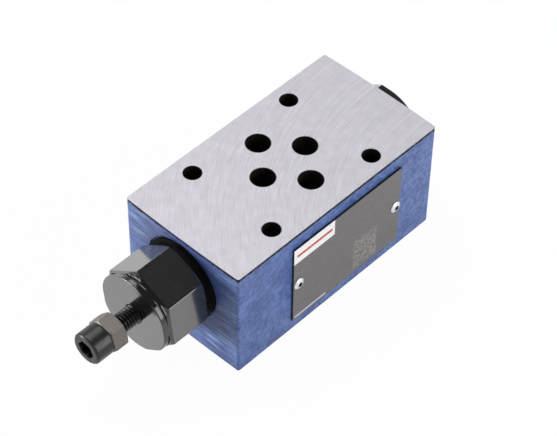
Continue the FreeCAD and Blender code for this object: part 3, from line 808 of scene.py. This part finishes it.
# %% [markdown]
# ## Floor
# A product photograph is taken on a white sweep. A white floor under strong lamps would throw light up
# into every shadow, so the floor is only pale, and it answers the camera with white.
# A small share of the plain floor is left in, and that keeps the object's shadow. In the mirrors a larger
# share is left in, so that the black steel shows both the white table and the dark place under the valve.

# %% Floor
WHITE_TO_CAMERA = 0.97      # share of white that the camera sees; the rest carries the shadow
WHITE_TO_MIRRORS = 0.65     # share of white that metal and glass see


def white_floor():
    """Pale matt floor that shows as white to the camera, to metal and to glass."""
    material, tree = new_material("white_sweep")
    rays = add(tree, "LightPath")
    seen = add(tree, "Math", {"operation": "MULTIPLY"},
               {0: rays.outputs["Is Camera Ray"], 1: WHITE_TO_CAMERA})
    for kind in ("Is Glossy Ray", "Is Transmission Ray"):
        mirrored = add(tree, "Math", {"operation": "MULTIPLY"}, {0: rays.outputs[kind], 1: WHITE_TO_MIRRORS})
        seen = add(tree, "Math", {"operation": "MAXIMUM"}, {0: seen, 1: mirrored})
    matt = add(tree, "BsdfDiffuse", inputs={"Color": colour("#F2F2F2")})
    glow = add(tree, "Emission", inputs={"Color": colour("#FFFFFF"), "Strength": 1.0})
    sweep = add(tree, "MixShader", inputs={0: seen, 1: matt, 2: glow})
    add(tree, "OutputMaterial", inputs={"Surface": sweep})
    return material


bpy.ops.mesh.primitive_plane_add(size=6.0, location=(0.0, 0.0, -0.02 * MM))
floor = bpy.context.object
floor.name = "floor"
floor.data.materials.append(white_floor())
print("floor is", round(floor.dimensions.x), "m wide")

# %% [markdown]
# ## Light
# The room is white low down and dark overhead, so that the black steel has both to mirror: its flat tops go
# black and its sides go light. Three soft lamps light the object at a plain level. The low, wide one on the
# left rakes along the adjuster end, and the sleeve's shadow falls across the right half of it.

# %% World
ROOM_LIGHT = 0.15           # how strongly the room lights the object, against 1 as it is seen


def studio_world():
    """White at the horizon, dark overhead, and weaker as light than as what is seen."""
    world = bpy.data.worlds.new("soft_studio")
    bpy.context.scene.world = world
    world.use_nodes = True
    tree = world.node_tree
    tree.nodes.clear()
    rays = add(tree, "LightPath")
    upward = add(tree, "SeparateXYZ", inputs={0: add(tree, "TexCoord").outputs["Generated"]})
    room = two_tones(tree, upward.outputs[2], "#FFFFFF", "#545458", 0.3, 0.7)
    seen = rays.outputs["Is Camera Ray"]
    for kind in ("Is Glossy Ray", "Is Transmission Ray"):
        seen = add(tree, "Math", {"operation": "MAXIMUM"}, {0: seen, 1: rays.outputs[kind]})
    strength = add(tree, "MapRange", inputs={"Value": seen, "To Min": ROOM_LIGHT, "To Max": 1.0})
    light = add(tree, "Background", inputs={"Color": room, "Strength": strength})
    add(tree, "OutputWorld", inputs={"Surface": light})


studio_world()
print("world set")

# %% Lamps
def softbox(name, place, size, power):
    """An area lamp that looks at the object. The size is its width and height in metres."""
    lamp = bpy.data.lights.new(name, "AREA")
    lamp.shape, lamp.energy = "RECTANGLE", power
    lamp.size, lamp.size_y = size
    holder = bpy.data.objects.new(name, lamp)
    bpy.context.scene.collection.objects.link(holder)
    holder.location = place
    holder.rotation_euler = (-Vector(place)).to_track_quat("-Z", "Y").to_euler()
    print(name, power, "W")


softbox("left_softbox", (-0.95, 0.8, 0.09), (0.6, 0.16), 11.5)
softbox("right_softbox", (0.45, -1.1, 0.5), (1.0, 1.0), 10.0)
softbox("top_softbox", (0.05, 0.4, 1.1), (0.9, 1.1), 11.2)

# %% [markdown]
# ## Camera
# The camera was fitted to the eight holes of the top face, whose places are standard, so its place, its
# turn and its lens are written as found. A long lens a good way off keeps the edges nearly parallel.

# %% Camera
def photo_camera():
    """The camera that sees the holes where the photo shows them."""
    data = bpy.data.cameras.new("photo_camera")
    data.sensor_width = 36.0
    data.lens = 134.68
    holder = bpy.data.objects.new("photo_camera", data)
    bpy.context.scene.collection.objects.link(holder)
    right = (0.68941139, -0.72425808, 0.01273461)
    up = (0.52838397, 0.51483174, 0.675099)
    back = (-0.49550208, -0.45869218, 0.73761723)
    turn = Matrix((right, up, back)).transposed()
    holder.matrix_world = Matrix.Translation((-0.302796, -0.279636, 0.467272)) @ turn.to_4x4()
    bpy.context.scene.camera = holder


photo_camera()
bpy.context.scene.view_settings.view_transform = "Standard"
print("camera set")
